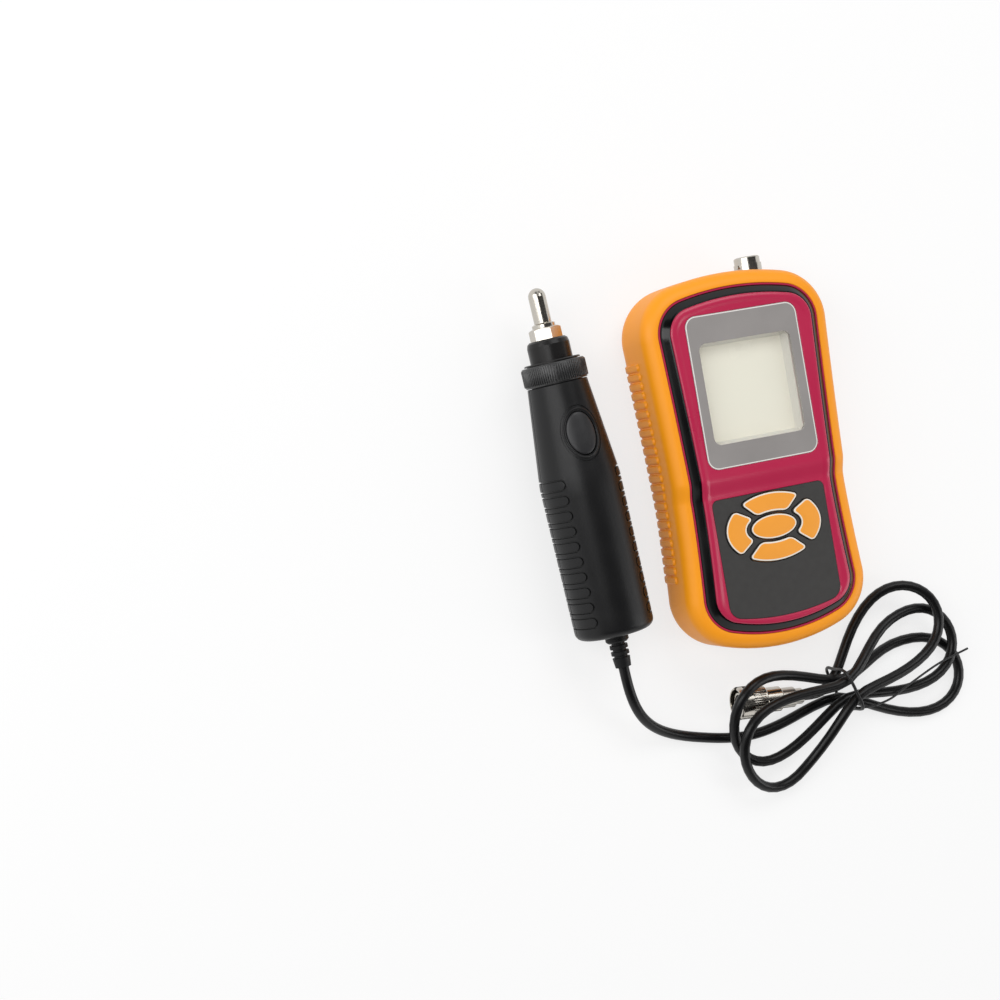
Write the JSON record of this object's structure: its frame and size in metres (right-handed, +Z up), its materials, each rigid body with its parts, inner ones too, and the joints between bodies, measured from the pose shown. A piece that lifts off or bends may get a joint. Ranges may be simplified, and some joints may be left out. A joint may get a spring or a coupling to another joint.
{
  "type": "handheld vibration meter",
  "caption": "Handheld vibration meter in a ribbed rubber boot, with a wired pickup probe lying beside it and the cord in a tied hank that ends in a bayonet plug.",
  "frame": {"origin": "middle of the boot's flat rubber back, which lies on the table", "axes": "X across the meter to the right when its display is read, Y along the meter towards the socket end, Z up out of the display"},
  "size_m": [0.1926, 0.2335, 0.0369],
  "materials": {
    "boot": "orange moulded rubber, satin",
    "case": "crimson ABS, satin",
    "trim": "black, polished",
    "lens": "clear polycarbonate with a grey printed border",
    "lcd": "off-white liquid crystal glass",
    "frame_plastic": "pale plastic",
    "strips": "layered contact rubber",
    "overlay": "dark grey printed film",
    "keys": "orange silicone rubber",
    "steel": "bright steel",
    "board": "green glass-fibre board",
    "parts": "moulded black components",
    "nickel": "bright nickel plate",
    "insulator": "black insulator",
    "cells": "plain sleeve on a steel can",
    "probe": "black ABS, fine satin",
    "probe_key": "black rubber",
    "collar": "black moulded plastic",
    "crystal": "piezo ceramic",
    "brass": "turned brass",
    "cord": "black cord jacket",
    "tie": "black wire tie"
  },
  "bodies": {
    "meter": {"boot": "boot", "rear_shell": "case", "front_shell": "case", "trim_ring": "trim", "display_lens": "lens", "lcd_panel": "lcd", "lcd_frame": "frame_plastic", "contact_strips": "strips", "keypad_overlay": "overlay", "dome_switches": "steel", "main_board": "board", "board_parts": "parts", "case_screws": "steel", "sensor_socket": "nickel", "socket_nut": "nickel", "socket_insert": "insulator", "battery_cells": "cells", "battery_contacts": "steel", "probe_front_shell": "probe", "probe_rear_shell": "probe", "probe_switch": "parts", "probe_board": "board", "nose_collar": "collar", "tip_nut": "nickel", "probe_tip": "nickel", "sensor_base": "steel", "sensor_crystals": "crystal", "sensor_mass": "brass", "probe_screws": "steel", "strain_relief": "cord", "cord_lead": "cord", "cord_hank": "cord", "cord_tie": "tie", "plug_body": "nickel", "plug_clamp": "nickel", "plug_insert": "insulator"},
    "key_centre_body": {"key_centre": "keys"},
    "key_top_body": {"key_top": "keys"},
    "key_right_body": {"key_right": "keys"},
    "key_bottom_body": {"key_bottom": "keys"},
    "key_left_body": {"key_left": "keys"},
    "door_body": {"battery_door": "case"},
    "button_body": {"probe_button": "probe_key"},
    "ring_body": {"knurled_ring": "collar"},
    "sleeve_body": {"plug_sleeve": "nickel"}
  },
  "joints": [
    {"name": "key_centre_press", "type": "slide", "parent": "meter", "child": "key_centre_body", "axis": [0, 0, -1], "range_m": [0, 0.0005], "stiffness_N_per_m": 1500},
    {"name": "key_top_press", "type": "slide", "parent": "meter", "child": "key_top_body", "axis": [0, 0, -1], "range_m": [0, 0.0005], "stiffness_N_per_m": 1500},
    {"name": "key_right_press", "type": "slide", "parent": "meter", "child": "key_right_body", "axis": [0, 0, -1], "range_m": [0, 0.0005], "stiffness_N_per_m": 1500},
    {"name": "key_bottom_press", "type": "slide", "parent": "meter", "child": "key_bottom_body", "axis": [0, 0, -1], "range_m": [0, 0.0005], "stiffness_N_per_m": 1500},
    {"name": "key_left_press", "type": "slide", "parent": "meter", "child": "key_left_body", "axis": [0, 0, -1], "range_m": [0, 0.0005], "stiffness_N_per_m": 1500},
    {"name": "battery_door_hinge", "type": "hinge", "parent": "meter", "child": "door_body", "pos_m": [0, -0.061, 0.0041], "axis": [-1, 0, 0], "range_deg": [0, 50]},
    {"name": "probe_button_press", "type": "slide", "parent": "meter", "child": "button_body", "axis": [0.0065, -0.1071, -0.9942], "range_m": [0, 0.0008], "stiffness_N_per_m": 1200},
    {"name": "knurled_ring_turn", "type": "hinge", "parent": "meter", "child": "ring_body", "pos_m": [-0.07987, 0.05079, 0.0173], "axis": [-0.061, 0.9981, 0], "continuous": true},
    {"name": "plug_sleeve_turn", "type": "hinge", "parent": "meter", "child": "sleeve_body", "pos_m": [-0.01188, -0.1055, 0.00725], "axis": [-0.995, 0.1, 0], "range_deg": [0, 60]}
  ]
}
